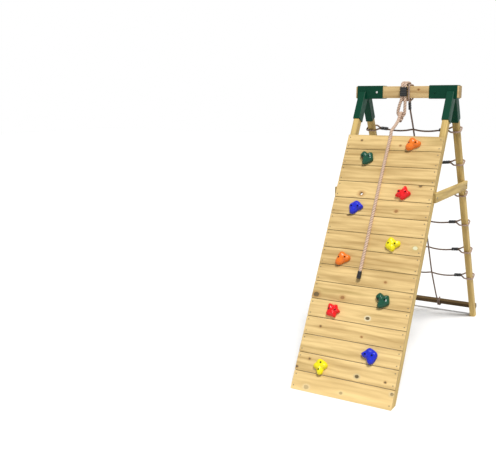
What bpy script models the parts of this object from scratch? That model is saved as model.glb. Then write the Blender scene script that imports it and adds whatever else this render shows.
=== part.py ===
"""Slanted rock climbing wall on a free-standing A-frame, with a climbing rope in front and a rope net behind.

Metres, +Z up. X runs along the beam, the boarded wall faces -Y and the net faces +Y.
The origin is on the ground, under the middle of the beam.
"""

import math

import bmesh
import bpy
from mathutils import Matrix, Vector

# --- driving dimensions -------------------------------------------------------------------
LEAN = math.radians(29.0)  # legs, from vertical
APEX_Z = 2.0914  # where the leg axes meet
GAP = 0.0003  # between touching pieces
FRONT, BACK = -1, 1

LEG_X = 0.045
LEG_DEPTH = 0.063
LEG_ROUND = 0.006
LEG_TOP = 0.1217  # from the apex, along the slope

BEAM_HALF_LENGTH = 0.403
BEAM_DEPTH = 0.090
BEAM_TOP_Z = 2.097
BEAM_HEIGHT = 0.090
BEAM_ROUND = 0.004

WALL_HALF_WIDTH = 0.368
BOARD_COUNT = 15
BOARD_PITCH = 0.1326
BOARD_GAP = 0.0026
BOARD_THICKNESS = 0.020
BOARD_ROUND = 0.003
TOP_BOARD_TRIM = 0.010  # the top board is narrower by this
WALL_FOOT_Z = 0.001  # the lowest board is cut level, just clear of the ground
SPARE_HOLE_RADIUS = 0.011
SPARE_HOLE_BOARD = 3
SPARE_HOLE_X = -0.162

BRACKET_WALL = 0.0050
BRACKET_PLAY = 0.0005
SLEEVE_IN_X = 0.181
SLEEVE_OUT_X = 0.392
SOCKET_START = 0.0567  # from the apex, along the slope
SOCKET_END = 0.292
PILASTER_PROUD = 0.003

BRACE_HALF_LENGTH = 0.460
BRACE_HEIGHT = 0.072
BRACE_THICKNESS = 0.020
BRACE_Z = 1.309

BAR_DEPTH = 0.034  # crossbar, across the slope
BAR_HEIGHT = 0.043  # crossbar, along the slope
BAR_DOWN = 2.309  # its middle, from the apex along the slope

NET_RADIUS = 0.007
NET_LANE = 0.0073  # the two strands in a ferrule lie this far either side of the net's plane
RUNG_COUNT = 6
RUNG_TOP_Z = 1.764
RUNG_PITCH_Z = 0.2665
RUNG_SAG = 0.010
RUNG_END_SLOPE = 0.11  # the rung climbs towards each leg
FERRULE_X = 0.238
FERRULE_LENGTH = 0.056
FERRULE_WALL = 0.0026
CENTRE_TOP_X = 0.0285  # the centre rope's loop on the beam
CENTRE_FERRULE = ((-0.022, 1.976), (-0.0075, 1.922))  # its two ends, (y, z)
CENTRE_FOOT_X = 0.014  # and its first turn on the crossbar

ROPE_RADIUS = 0.012
SLING_X = -0.010
SLING_LANE = 0.0124
SLING_Y = -0.0640
SLING_RISE = 0.012  # slack of the sling above the beam
SLING_FERRULE_LOW = 2.0200
SLING_FERRULE_HIGH = 2.0900
EYE_GAP = 0.0045
LINK_X = -0.0215
LINK_Z = 1.870
EYE_HALF_WIDTH = 0.0265
CAP_RADIUS = 0.016
CAP_LENGTH = 0.058
ROPE_STANDOFF = 0.0016  # from the rope lying on the wall to the boards
ROPE_END = 1.088  # down the wall from its top

HOLD_HEIGHT = 0.040
HOLD_SCREW_SPACING = 0.050
HOLD_SCREW_SEAT = 0.014  # from the boards to the floor of a screw's recess

# --- worked out ---------------------------------------------------------------------------
SIN, COS = math.sin(LEAN), math.cos(LEAN)
LEG_CENTRE_X = WALL_HALF_WIDTH - LEG_X / 2
BEAM_LOW_Z = BEAM_TOP_Z - BEAM_HEIGHT
BOARD_BACK = LEG_DEPTH / 2 + GAP
WALL_FACE = BOARD_BACK + BOARD_THICKNESS
WALL_TOP_DOWN = (APEX_Z + WALL_FACE * SIN - WALL_FOOT_Z) / COS - BOARD_COUNT * BOARD_PITCH
BAR_OUT = LEG_DEPTH / 2 + GAP + BAR_DEPTH / 2
LINK_Y = SLING_Y

# Holds: across, distance down the wall from its top, colour, form and turn in degrees.
LEFT_X, RIGHT_X = -0.180, 0.153
HOLDS = (
    (RIGHT_X, 0.081, "orange", "wedge", 0),
    (LEFT_X, 0.205, "green", "cleft", 0),
    (RIGHT_X, 0.470, "red", "star", 0),
    (LEFT_X, 0.607, "blue", "fin", 0),
    (RIGHT_X, 0.864, "yellow", "clover", 0),
    (LEFT_X - 0.012, 1.006, "orange", "wedge", 4),
    (RIGHT_X + 0.010, 1.273, "green", "cleft", -4),
    (LEFT_X, 1.394, "red", "paw", 0),
    (RIGHT_X, 1.665, "blue", "scoop", 0),
    (LEFT_X, 1.798, "yellow", "clover", -95),
)
# Each form's outline, seen from the front: lobes and the bays between them as angle and radius in mm.
HOLD_FORMS = {
    "wedge": ((8, 60), (55, 43), (104, 52), (165, 43), (225, 59), (300, 39)),
    "clover": ((15, 64), (62, 41), (110, 55), (160, 47), (205, 50), (245, 44), (280, 50), (325, 39)),
    "cleft": ((-14, 56), (18, 51), (48, 55), (84, 42), (118, 55), (157, 53), (205, 34), (252, 55), (308, 50)),
    "star": ((0, 58), (40, 44), (77, 55), (115, 36), (153, 47), (180, 44), (207, 55), (238, 43), (270, 50), (320, 46)),
    "paw": ((-2, 55), (28, 43), (58, 50), (92, 42), (126, 54), (176, 42), (227, 53), (265, 45), (301, 55), (330, 43)),
    "fin": ((9, 58), (45, 49), (87, 52), (125, 47), (162, 50), (200, 46), (241, 56), (318, 36)),
    "scoop": ((23, 56), (60, 50), (98, 53), (137, 47), (175, 56), (231, 35), (289, 60), (335, 52)),
}
HOLD_OUTLINE = 26  # points

# --- scene and helpers --------------------------------------------------------------------
def clear_scene():
    for existing in list(bpy.data.objects):
        bpy.data.objects.remove(existing)


def collection(name):
    made = bpy.data.collections.new(name)
    bpy.context.scene.collection.children.link(made)
    return made


def material(name, colour, roughness, metallic=0.0):
    made = bpy.data.materials.new(name)
    made.use_nodes = True
    shader = made.node_tree.nodes["Principled BSDF"]
    shader.inputs["Base Color"].default_value = (*colour, 1.0)
    shader.inputs["Roughness"].default_value = roughness
    shader.inputs["Metallic"].default_value = metallic
    return made


def slope(side):
    """The frame of one leaning side: its origin at the apex, -Z down the slope, X along the beam."""
    return Matrix.Translation((0, 0, APEX_Z)) @ Matrix.Rotation(side * LEAN, 4, "X")


def on_slope(side, x, down, out):
    """A point on a leaning side, out from the leg axes and away from the frame's middle."""
    return slope(side) @ Vector((x, side * out, -down))


def add(name, mesh, look, matrix=None, into=None):
    made = bpy.data.objects.new(name, mesh)
    made.matrix_world = matrix if matrix is not None else Matrix.Identity(4)
    mesh.materials.clear()
    mesh.materials.append(look)
    (into or parts).objects.link(made)
    return made


def mesh_from(bm, name):
    bmesh.ops.recalc_face_normals(bm, faces=bm.faces)
    mesh = bpy.data.meshes.new(name)
    bm.to_mesh(mesh)
    bm.free()
    return mesh


def box_mesh(name, size, rounding=0.0, segments=1, cut=None):
    """A box on its own centre with rounded edges, cut off below a plane (point, normal) if one is given."""
    bm = bmesh.new()
    bmesh.ops.create_cube(bm, size=1.0)
    bmesh.ops.scale(bm, vec=size, verts=bm.verts)
    if rounding:
        bmesh.ops.bevel(
            bm, geom=bm.edges, offset=rounding, segments=segments, profile=0.5, affect="EDGES"
        )
    if cut:
        point, normal = cut
        cut_faces = bmesh.ops.bisect_plane(
            bm,
            geom=bm.verts[:] + bm.edges[:] + bm.faces[:],
            plane_co=point,
            plane_no=normal,
            clear_inner=True,
        )["geom_cut"]
        bmesh.ops.contextual_create(bm, geom=[e for e in cut_faces if isinstance(e, bmesh.types.BMEdge)])
    return mesh_from(bm, name)


def level_cut(matrix, z):
    """The level plane at height z, in the frame of matrix."""
    back = matrix.inverted()
    return back @ Vector((matrix.translation.x, matrix.translation.y, z)), back.to_3x3() @ Vector((0, 0, 1))


def cylinder_mesh(name, radius, height, sides):
    bm = bmesh.new()
    bmesh.ops.create_cone(
        bm, cap_ends=True, segments=sides, radius1=radius, radius2=radius, depth=height
    )
    return mesh_from(bm, name)


def boolean(piece, operation, other):
    modifier = piece.modifiers.new(other.name, "BOOLEAN")
    modifier.operation = operation
    modifier.solver = "EXACT"
    modifier.object = other
    other.hide_render = True
    other.display_type = "WIRE"


def smooth_route(route, spacing):
    """Points about `spacing` apart on a smooth curve (Catmull-Rom, centripetal) through a route's points."""
    points = [Vector(p) for p in route]
    points = [2 * points[0] - points[1], *points, 2 * points[-1] - points[-2]]
    dense = []
    for a, b, c, d in zip(points, points[1:], points[2:], points[3:]):
        ta = 0.0
        tb = ta + (b - a).length ** 0.5
        tc = tb + (c - b).length ** 0.5
        td = tc + (d - c).length ** 0.5
        steps = max(2, int((c - b).length / 0.001))
        for i in range(steps):
            t = tb + (tc - tb) * i / steps
            ab = a.lerp(b, (t - ta) / (tb - ta))
            bc = b.lerp(c, (t - tb) / (tc - tb))
            cd = c.lerp(d, (t - tc) / (td - tc))
            abc = ab.lerp(bc, (t - ta) / (tc - ta))
            bcd = bc.lerp(cd, (t - tb) / (td - tb))
            dense.append(abc.lerp(bcd, (t - tb) / (tc - tb)))
    dense.append(points[-2])
    along = [0.0]
    for p, q in zip(dense, dense[1:]):
        along.append(along[-1] + (q - p).length)
    count = max(2, round(along[-1] / spacing))
    result, i = [], 0
    for n in range(count + 1):
        want = along[-1] * n / count
        while i < len(along) - 2 and along[i + 1] < want:
            i += 1
        share = (want - along[i]) / (along[i + 1] - along[i])
        result.append(dense[i].lerp(dense[i + 1], min(1.0, max(0.0, share))))
    return result


def thinned(points, tolerance, longest=1.0):
    """The fewest of the points that keep the line within a tolerance, none further apart than `longest`."""
    first, last = points[0], points[-1]
    along = (last - first).normalized()
    worst, where = 0.0, 0
    for i in range(1, len(points) - 1):
        reach = points[i] - first
        aside = (reach - along * reach.dot(along)).length if along.length else reach.length
        if aside > worst:
            worst, where = aside, i
    if worst <= tolerance:
        if len(points) == 2 or (last - first).length <= longest:
            return [first, last]
        where = len(points) // 2
    before, after = points[: where + 1], points[where:]
    return thinned(before, tolerance, longest)[:-1] + thinned(after, tolerance, longest)


def tube_curve(name, strands, radius, resolution, look, into=None):
    """A tube along each of the strands' points."""
    curve = bpy.data.curves.new(name, "CURVE")
    curve.dimensions = "3D"
    curve.bevel_depth = radius
    curve.bevel_resolution = resolution
    curve.use_fill_caps = True
    for points in strands:
        spline = curve.splines.new("POLY")
        spline.points.add(len(points) - 1)
        for point, place in zip(spline.points, points):
            point.co = (*place, 1.0)
        spline.use_smooth = True
    made = bpy.data.objects.new(name, curve)
    curve.materials.append(look)
    (into or parts).objects.link(made)
    return made


def arc(centre, radius, start, end, steps):
    """Points (a, b) on an arc, angles in degrees."""
    return [
        (
            centre[0] + radius * math.cos(math.radians(start + (end - start) * i / steps)),
            centre[1] + radius * math.sin(math.radians(start + (end - start) * i / steps)),
        )
        for i in range(steps + 1)
    ]


def stadium(half_spread, radius, steps):
    """A closed outline with straight sides and two half-round ends."""
    right = arc((half_spread, 0), radius, -90, 90, steps)
    left = arc((-half_spread, 0), radius, 90, 270, steps)
    return right + left


def sleeve_mesh(name, half_spread, bore, wall, length, steps):
    """A crimped two-strand ferrule: a stadium-shaped sleeve along Z, made as a flat outline with a hole."""
    curve = bpy.data.curves.new(name, "CURVE")
    curve.dimensions = "2D"
    curve.fill_mode = "BOTH"
    curve.extrude = length / 2
    for outline in (stadium(half_spread, bore + wall, steps), stadium(half_spread, bore, steps)):
        spline = curve.splines.new("POLY")
        spline.points.add(len(outline) - 1)
        for point, (x, y) in zip(spline.points, outline):
            point.co = (x, y, 0.0, 1.0)
        spline.use_cyclic_u = True
    holder = bpy.data.objects.new(name, curve)
    cutters.objects.link(holder)
    bpy.context.view_layer.update()
    mesh = bpy.data.meshes.new_from_object(holder.evaluated_get(bpy.context.evaluated_depsgraph_get()))
    bpy.data.objects.remove(holder)
    bm = bmesh.new()
    bm.from_mesh(mesh)
    bmesh.ops.remove_doubles(bm, verts=bm.verts, dist=1e-6)
    bpy.data.meshes.remove(mesh)
    return mesh_from(bm, name)


def frame_from(origin, along, across):
    """A frame at origin with Z along one direction and X close to another."""
    z = Vector(along).normalized()
    y = z.cross(Vector(across)).normalized()
    x = y.cross(z)
    rotation = Matrix((x, y, z)).transposed().to_4x4()
    return Matrix.Translation(origin) @ rotation


# --- timber -------------------------------------------------------------------------------
def legs():
    length = (APEX_Z + LEG_DEPTH / 2 * SIN) / COS + 0.05
    for side, where in ((FRONT, "front"), (BACK, "back")):
        for hand, x in (("left", -LEG_CENTRE_X), ("right", LEG_CENTRE_X)):
            middle = (LEG_TOP + length) / 2
            matrix = slope(side) @ Matrix.Translation((x, 0, -middle))
            size = (LEG_X, LEG_DEPTH, length - LEG_TOP)
            mesh = box_mesh(f"{where}_leg_{hand}", size, LEG_ROUND, 2, level_cut(matrix, 0.0))
            add(f"{where}_leg_{hand}", mesh, timber, matrix)


def beam():
    size = (2 * BEAM_HALF_LENGTH, BEAM_DEPTH, BEAM_HEIGHT)
    middle = Matrix.Translation((0, 0, BEAM_TOP_Z - BEAM_HEIGHT / 2))
    add("beam", box_mesh("beam", size, BEAM_ROUND, 2), timber, middle)


def boards():
    for i in range(BOARD_COUNT):
        top = WALL_TOP_DOWN + i * BOARD_PITCH + (TOP_BOARD_TRIM if i == 0 else 0.0)
        low = WALL_TOP_DOWN + (i + 1) * BOARD_PITCH - BOARD_GAP
        last = i == BOARD_COUNT - 1
        if last:
            low += 0.03
        out = BOARD_BACK + BOARD_THICKNESS / 2
        matrix = slope(FRONT) @ Matrix.Translation((0, FRONT * out, -(top + low) / 2))
        name = f"board_{i + 1:02d}"
        size = (2 * WALL_HALF_WIDTH, BOARD_THICKNESS, low - top)
        mesh = box_mesh(name, size, BOARD_ROUND, 1, level_cut(matrix, WALL_FOOT_Z) if last else None)
        board = add(name, mesh, board_wood, matrix)
        if i == SPARE_HOLE_BOARD:
            drill = cylinder_mesh("spare_hole", SPARE_HOLE_RADIUS, 3 * BOARD_THICKNESS, 16)
            down = WALL_TOP_DOWN + 0.491
            place = slope(FRONT) @ Matrix.Translation((SPARE_HOLE_X, FRONT * out, -down))
            turned = place @ Matrix.Rotation(math.pi / 2, 4, "X")
            boolean(board, "DIFFERENCE", add("spare_hole", drill, timber, turned, cutters))


def braces_and_crossbar():
    x = WALL_HALF_WIDTH + GAP + BRACE_THICKNESS / 2
    size = (BRACE_THICKNESS, 2 * BRACE_HALF_LENGTH, BRACE_HEIGHT)
    for hand, sign in (("left", -1), ("right", 1)):
        mesh = box_mesh(f"side_brace_{hand}", size, BOARD_ROUND, 1)
        add(f"side_brace_{hand}", mesh, timber, Matrix.Translation((sign * x, 0, BRACE_Z)))
    size = (2 * WALL_HALF_WIDTH, BAR_DEPTH, BAR_HEIGHT)
    place = slope(BACK) @ Matrix.Translation((0, BAR_OUT, -BAR_DOWN))
    add("crossbar", box_mesh("crossbar", size, BOARD_ROUND, 1), timber, place)


# --- brackets -----------------------------------------------------------------------------
def brackets():
    """Each bracket is a sleeve on the beam with two leg sockets under its outer end."""
    play, wall = BRACKET_PLAY, BRACKET_WALL
    sleeve_x = (SLEEVE_IN_X + SLEEVE_OUT_X) / 2
    sleeve_size = (
        SLEEVE_OUT_X - SLEEVE_IN_X,
        BEAM_DEPTH + 2 * (play + wall),
        BEAM_HEIGHT + 2 * (play + wall),
    )
    beam_z = BEAM_TOP_Z - BEAM_HEIGHT / 2
    socket_size = (
        LEG_X + 2 * (play + wall),
        LEG_DEPTH + 2 * (play + wall),
        SOCKET_END - SOCKET_START,
    )
    pad_size = (socket_size[0], sleeve_size[1] + 2 * PILASTER_PROUD, sleeve_size[2] - 0.004)
    for hand, sign in (("left", -1), ("right", 1)):
        name = f"bracket_{hand}"
        body = add(
            name,
            box_mesh(name, sleeve_size, 0.004, 2),
            green_steel,
            Matrix.Translation((sign * sleeve_x, 0, beam_z)),
        )
        x = sign * LEG_CENTRE_X
        pad = add(
            f"pad_{hand}",
            box_mesh("pad", pad_size, 0.002, 1),
            green_steel,
            Matrix.Translation((x, 0, beam_z)),
            cutters,
        )
        boolean(body, "UNION", pad)
        for side, where in ((FRONT, "front"), (BACK, "back")):
            middle = (SOCKET_START + SOCKET_END) / 2
            socket = add(
                f"socket_{where}_{hand}",
                box_mesh("socket", socket_size, 0.004, 2),
                green_steel,
                slope(side) @ Matrix.Translation((x, 0, -middle)),
                cutters,
            )
            boolean(body, "UNION", socket)
        hollow = (1.0, BEAM_DEPTH + 2 * play, BEAM_HEIGHT + 2 * play)
        bore = add(
            f"beam_bore_{hand}",
            box_mesh("beam_bore", hollow),
            green_steel,
            Matrix.Translation((sign * sleeve_x, 0, beam_z)),
            cutters,
        )
        boolean(body, "DIFFERENCE", bore)
        for side, where in ((FRONT, "front"), (BACK, "back")):
            start, end = LEG_TOP - play, SOCKET_END + 0.05
            hollow = (LEG_X + 2 * play, LEG_DEPTH + 2 * play, end - start)
            bore = add(
                f"leg_bore_{where}_{hand}",
                box_mesh("leg_bore", hollow),
                green_steel,
                slope(side) @ Matrix.Translation((x, 0, -(start + end) / 2)),
                cutters,
            )
            boolean(body, "DIFFERENCE", bore)


# --- holds --------------------------------------------------------------------------------
def outline_radius(knots, degrees):
    """The outline's radius in metres at an angle, eased between the lobes and bays."""
    knots = sorted((angle % 360, radius) for angle, radius in knots)
    knots = [(knots[-1][0] - 360, knots[-1][1]), *knots, (knots[0][0] + 360, knots[0][1])]
    degrees %= 360
    for (a, p), (b, q) in zip(knots, knots[1:]):
        if a <= degrees < b:
            ease = (1 - math.cos(math.pi * (degrees - a) / (b - a))) / 2
            return (p + (q - p) * ease) / 1000
    return knots[0][1] / 1000


def hold_mesh(form):
    """A lobed boulder: rings of the outline that swell, then draw in to a flat crown."""
    levels = ((0.0, 0.93), (0.40, 1.0), (0.78, 0.86), (1.0, 0.58))
    bm = bmesh.new()
    rings = []
    for height, scale in levels:
        ring = []
        for i in range(HOLD_OUTLINE):
            degrees = 360 * i / HOLD_OUTLINE
            radius = outline_radius(HOLD_FORMS[form], degrees) * scale
            turn = math.radians(degrees)
            ring.append(bm.verts.new((radius * math.cos(turn), radius * math.sin(turn), height * HOLD_HEIGHT)))
        rings.append(ring)
    for lower, upper in zip(rings, rings[1:]):
        for i in range(HOLD_OUTLINE):
            j = (i + 1) % HOLD_OUTLINE
            bm.faces.new((lower[i], lower[j], upper[j], upper[i]))
    bm.faces.new(rings[0])
    bm.faces.new(rings[-1])
    return mesh_from(bm, f"hold_{form}")


def hold_frame(x, down, turn):
    """On the wall's face: Z out of the wall, Y up it."""
    face = slope(FRONT) @ Matrix.Translation((x, FRONT * (WALL_FACE + GAP), -(WALL_TOP_DOWN + down)))
    return face @ Matrix.Rotation(math.pi / 2, 4, "X") @ Matrix.Rotation(math.radians(turn), 4, "Z")


def holds():
    drill = cylinder_mesh("screw_recess", 0.0078, 0.06, 10)
    for number, (x, down, colour, form, turn) in enumerate(HOLDS, 1):
        name = f"hold_{number:02d}_{colour}"
        hold = add(name, hold_mesh(form), hold_looks[colour], hold_frame(x, down, turn))
        for step in (-0.5, 0.5):
            offset = Vector((step * HOLD_SCREW_SPACING, 0.004, HOLD_SCREW_SEAT + 0.03))
            place = hold_frame(x, down, turn) @ Matrix.Translation(offset)
            recess = add(f"recess_{number:02d}_{'ab'[step > 0]}", drill, timber, place, cutters)
            boolean(hold, "DIFFERENCE", recess)


# --- rope net -----------------------------------------------------------------------------
def leg_loop():
    """Half of a rung, from the tail in the right ferrule round the right leg: (x, out) points."""
    near, far = FERRULE_X - FERRULE_LENGTH / 2 + 0.001, FERRULE_X + FERRULE_LENGTH / 2
    clear = LEG_DEPTH / 2 + NET_RADIUS + 0.0010
    turn = 0.020
    corner_x = WALL_HALF_WIDTH + 0.0127 - turn
    spread = [(far + 0.016, 0.0130), (far + 0.032, 0.0290), (far + 0.047, 0.0400)]
    tail = [(near, NET_LANE), (FERRULE_X, NET_LANE), (far, NET_LANE), *spread]
    round_leg = [(corner_x - 0.018, clear)]
    round_leg += arc((corner_x, clear - turn), turn, 90, 0, 4)
    round_leg += arc((corner_x, turn - clear), turn, 0, -90, 4)
    round_leg += [(corner_x - 0.018, -clear)]
    back = [(x, -out) for x, out in reversed(tail)]
    return tail + round_leg + back


def rung_route(z):
    down = (APEX_Z - z) / COS
    top = FERRULE_X + FERRULE_LENGTH / 2
    half = [(x, out, RUNG_END_SLOPE * (min(top, FERRULE_X) - min(top, x))) for x, out in leg_loop()]
    reach = FERRULE_X - FERRULE_LENGTH / 2
    for share in (0.75, 0.5, 0.25):
        sag = RUNG_SAG * math.sin(math.pi * share) + RUNG_END_SLOPE * FERRULE_LENGTH / 2 * share
        half.append((reach * share, -NET_LANE - sag * SIN, sag * COS))
    whole = half + [(0.0, -NET_LANE, 0.0)]
    whole += [(-x, out, drop) for x, out, drop in reversed(half)]
    return [on_slope(BACK, x, down + drop, out) for x, out, drop in whole]


def centre_ferrule_axis():
    """The top ferrule's two ends, and the direction across its two strands."""
    (top_y, top_z), (low_y, low_z) = CENTRE_FERRULE
    top, low = Vector((CENTRE_TOP_X, top_y, top_z)), Vector((CENTRE_TOP_X, low_y, low_z))
    along = (low - top).normalized()
    return top, low, along, Vector((0, -along.z, along.y))


def centre_route():
    """Over the beam, down the net behind its rungs, and one and a half turns round the crossbar."""
    top, low, along, across = centre_ferrule_axis()
    middle = (top + low) / 2
    lane = across * NET_LANE
    route = [low - along * 0.001 - lane, middle - lane, top - lane, top - along * 0.005 - lane]
    clear = NET_RADIUS + 0.0006
    turn = 0.012
    y = BEAM_DEPTH / 2 + clear - turn
    low_z, high_z = BEAM_LOW_Z - clear + turn, BEAM_TOP_Z + clear - turn
    ring = arc((-y, low_z), turn, -115, -180, 3)
    ring += arc((-y, high_z), turn, 180, 90, 3)
    ring += arc((y, high_z), turn, 90, 0, 3)
    ring += arc((y, low_z), turn, 0, -75, 3)
    route += [Vector((CENTRE_TOP_X, a, b)) for a, b in ring]
    route += [top - along * 0.005 + lane, top + lane, middle + lane, low + lane, low + along * 0.008 + lane]
    first = (APEX_Z - RUNG_TOP_Z) / COS
    last = (APEX_Z - RUNG_TOP_Z + (RUNG_COUNT - 1) * RUNG_PITCH_Z) / COS
    for i in range(RUNG_COUNT):
        route.append(on_slope(BACK, 0.0, first + (last - first) * i / (RUNG_COUNT - 1), NET_LANE))

    top, low = BAR_DOWN - BAR_HEIGHT / 2, BAR_DOWN + BAR_HEIGHT / 2
    front = BAR_OUT - BAR_DEPTH / 2 - clear
    back = BAR_OUT + BAR_DEPTH / 2 + clear
    a, b = CENTRE_FOOT_X, CENTRE_FOOT_X + 0.0128
    route += [on_slope(BACK, x, d, o) for x, d, o in (
        (0.004, last + 0.12, 0.009), (0.011, top - 0.075, 0.017), (a, top - 0.030, front - 0.002),
        (a, top, front), (a, BAR_DOWN, front), (a, low, front - 0.0002),
        (a, low + 0.010, front + 0.005), (a, low + 0.013, front + 0.014), (a, low + 0.013, back - 0.014),
        (a, low + 0.010, back - 0.004), (a, low, back + 0.0004), (a + 0.003, BAR_DOWN, back),
        (a + 0.008, top, back + 0.0003), (b - 0.002, top - 0.0085, back - 0.008),
        (b, top - 0.0085, front + 0.009), (b, top, front - 0.0004), (b, BAR_DOWN, front),
        (b, low, front - 0.0002), (b, low + 0.010, front + 0.005), (b, low + 0.013, front + 0.014),
        (b, low + 0.013, back - 0.010),
    )]
    return route


def net():
    for i in range(RUNG_COUNT):
        points = thinned(smooth_route(rung_route(RUNG_TOP_Z - i * RUNG_PITCH_Z), 0.004), 0.0003)
        tube_curve(f"net_rung_{i + 1}", [points], NET_RADIUS, 1, net_rope)
    points = thinned(smooth_route(centre_route(), 0.004), 0.0003)
    tube_curve("net_centre_rope", [points], NET_RADIUS, 1, net_rope)

    bore = NET_RADIUS + 0.0005
    sleeve = sleeve_mesh("net_ferrule", NET_LANE, bore, FERRULE_WALL, FERRULE_LENGTH, 5)
    for i in range(RUNG_COUNT):
        down = (APEX_Z - RUNG_TOP_Z + i * RUNG_PITCH_Z) / COS
        for hand, sign in (("left", -1), ("right", 1)):
            along = (1, -sign * RUNG_END_SLOPE * SIN, sign * RUNG_END_SLOPE * COS)
            place = frame_from(on_slope(BACK, sign * FERRULE_X, down, 0), along, (0, COS, SIN))
            add(f"net_ferrule_{i + 1}_{hand}", sleeve, black_plastic, place)
    top, low, along, across = centre_ferrule_axis()
    add("net_ferrule_top", sleeve, black_plastic, frame_from((top + low) / 2, along, across))


# --- sling and climbing rope --------------------------------------------------------------
def sling():
    """A doubled rope round the beam, clamped in front by a ferrule, and the eye that hangs below it."""
    clear = ROPE_RADIUS + GAP + 0.0002
    back = BEAM_DEPTH / 2 + clear
    low = BEAM_LOW_Z - clear
    high = BEAM_TOP_Z + clear + SLING_RISE
    route = [(-0.020, low), (0.004, low)]
    route += arc((back - 0.016, low + 0.016), 0.016, -90, 0, 4)
    route += arc((back - 0.030, high - 0.030), 0.030, 0, 90, 4)
    route += arc((SLING_Y + 0.030, high - 0.030), 0.030, 90, 180, 4)
    route += [(SLING_Y, 2.070), (SLING_Y, 2.045), (SLING_Y, SLING_FERRULE_LOW + 0.0005)]
    bight = arc((-0.024, SLING_X), SLING_LANE, 270, 90, 8)[1:-1]
    whole = [(SLING_X - SLING_LANE, y, z) for y, z in reversed(route)]
    whole += [(x, y, low) for y, x in bight]
    whole += [(SLING_X + SLING_LANE, y, z) for y, z in route]
    tube_curve("sling_rope", [smooth_route(whole, 0.0125)], ROPE_RADIUS, 2, rope)

    sleeve = sleeve_mesh(
        "sling_ferrule",
        SLING_LANE,
        ROPE_RADIUS + 0.0005,
        0.0028,
        SLING_FERRULE_HIGH - SLING_FERRULE_LOW,
        8,
    )
    middle = (SLING_X, SLING_Y, (SLING_FERRULE_LOW + SLING_FERRULE_HIGH) / 2)
    add("sling_ferrule", sleeve, black_plastic, Matrix.Translation(middle))

    top = SLING_FERRULE_LOW - EYE_GAP
    bend = arc((LINK_X, LINK_Z + 0.032), 1.0, 180, 360, 8)
    bottom = [
        (LINK_X + (a - LINK_X) * EYE_HALF_WIDTH, LINK_Z + 0.032 + (b - LINK_Z - 0.032) * 0.032)
        for a, b in bend
    ]
    left = [(SLING_X - SLING_LANE, top), (SLING_X - 0.0160, top - 0.025), (-0.0385, 1.952)]
    right = [(0.0055, 1.952), (SLING_X + 0.0150, top - 0.025), (SLING_X + SLING_LANE, top)]
    route = [(x, SLING_Y, z) for x, z in left + bottom + right]
    tube_curve("sling_eye", [smooth_route(route, 0.010)], ROPE_RADIUS, 2, rope)


def rope_route():
    """The climbing rope: its own eye through the sling's eye, over the wall's top edge, down the boards."""
    edge = on_slope(FRONT, -0.0245, WALL_TOP_DOWN - 0.014, WALL_FACE + 0.0235)
    link = Vector((LINK_X, LINK_Y, LINK_Z))
    pull = Vector((0, edge.y - link.y, edge.z - link.z)).normalized()
    side = Vector((0, -pull.z, pull.y))
    turn = 2 * ROPE_RADIUS + 0.0009
    loop = [link + pull * 0.034 + side * 0.0245]
    for i in range(9):
        angle = math.radians(108 - 27 * i)
        loop.append(link + (side * math.sin(angle) - pull * math.cos(angle)) * turn)
    loop += [link + pull * 0.036 - side * 0.0165, link + pull * 0.060 - side * 0.0050]
    loop += [link + pull * 0.090, link + pull * 0.150 + Vector((-0.003, 0, -0.004))]
    lie = WALL_FACE + ROPE_RADIUS + ROPE_STANDOFF
    run = [(-0.0256, 0.022, lie + 0.0016), (-0.0275, 0.075, lie)]
    run += [(-0.0300, 0.210, lie), (-0.0322, 0.370, lie), (-0.0330, 0.530, lie)]
    run += [(-0.0345, 0.700, lie), (-0.0352, 0.840, lie), (-0.0362, 0.960, lie + 0.0008)]
    run += [(-0.0365, 1.040, lie + 0.0030), (-0.0360, ROPE_END, lie + 0.0050)]
    return loop + [edge] + [on_slope(FRONT, x, WALL_TOP_DOWN + d, o) for x, d, o in run]


def climbing_rope():
    points = thinned(smooth_route(rope_route(), 0.003), 0.0002, 0.075)
    tube_curve("climbing_rope", [points], ROPE_RADIUS, 3, rope)
    along = (points[-1] - points[-2]).normalized()
    profile = [(0.0, 0.0), (0.0150, 0.0), (CAP_RADIUS, 0.002), (CAP_RADIUS, 0.044)]
    profile += [(0.0155, 0.052), (0.0095, 0.0565), (0.0, CAP_LENGTH)]
    bm = bmesh.new()
    corners = [bm.verts.new((radius, 0, -height)) for radius, height in profile]
    for p, q in zip(corners, corners[1:]):
        bm.edges.new((p, q))
    mesh = bpy.data.meshes.new("rope_end_cap")
    bm.to_mesh(mesh)
    bm.free()
    place = frame_from(points[-1] + along * GAP, -along, (1, 0, 0))
    cap = add("rope_end_cap", mesh, black_plastic, place)
    turned = cap.modifiers.new("turned", "SCREW")
    turned.steps = 14
    turned.render_steps = 14
    turned.use_merge_vertices = True
    turned.merge_threshold = 0.00001
    mesh.shade_smooth()


clear_scene()
parts = collection("rock_climbing_wall")
cutters = collection("cutters")
timber = material("timber", (0.62, 0.47, 0.25), 0.65)
board_wood = material("board_wood", (0.70, 0.54, 0.31), 0.62)
green_steel = material("green_steel", (0.020, 0.092, 0.060), 0.38)
net_rope = material("net_rope", (0.30, 0.22, 0.18), 0.85)
rope = material("rope", (0.70, 0.52, 0.40), 0.80)
black_plastic = material("black_plastic", (0.015, 0.015, 0.017), 0.30)
hold_looks = {
    "orange": material("hold_orange", (0.90, 0.22, 0.02), 0.40),
    "green": material("hold_green", (0.01, 0.12, 0.06), 0.40),
    "red": material("hold_red", (0.78, 0.01, 0.02), 0.40),
    "blue": material("hold_blue", (0.02, 0.03, 0.55), 0.40),
    "yellow": material("hold_yellow", (0.95, 0.85, 0.01), 0.40),
}

legs()
beam()
boards()
braces_and_crossbar()
brackets()
holds()
net()
sling()
climbing_rope()
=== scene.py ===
"""The looks of a free-standing climbing wall: boards with holds and a laid rope, and a rope net behind.

Metres, +Z up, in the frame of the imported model. X runs along the beam and the boards face -Y.
"""

import math

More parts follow.
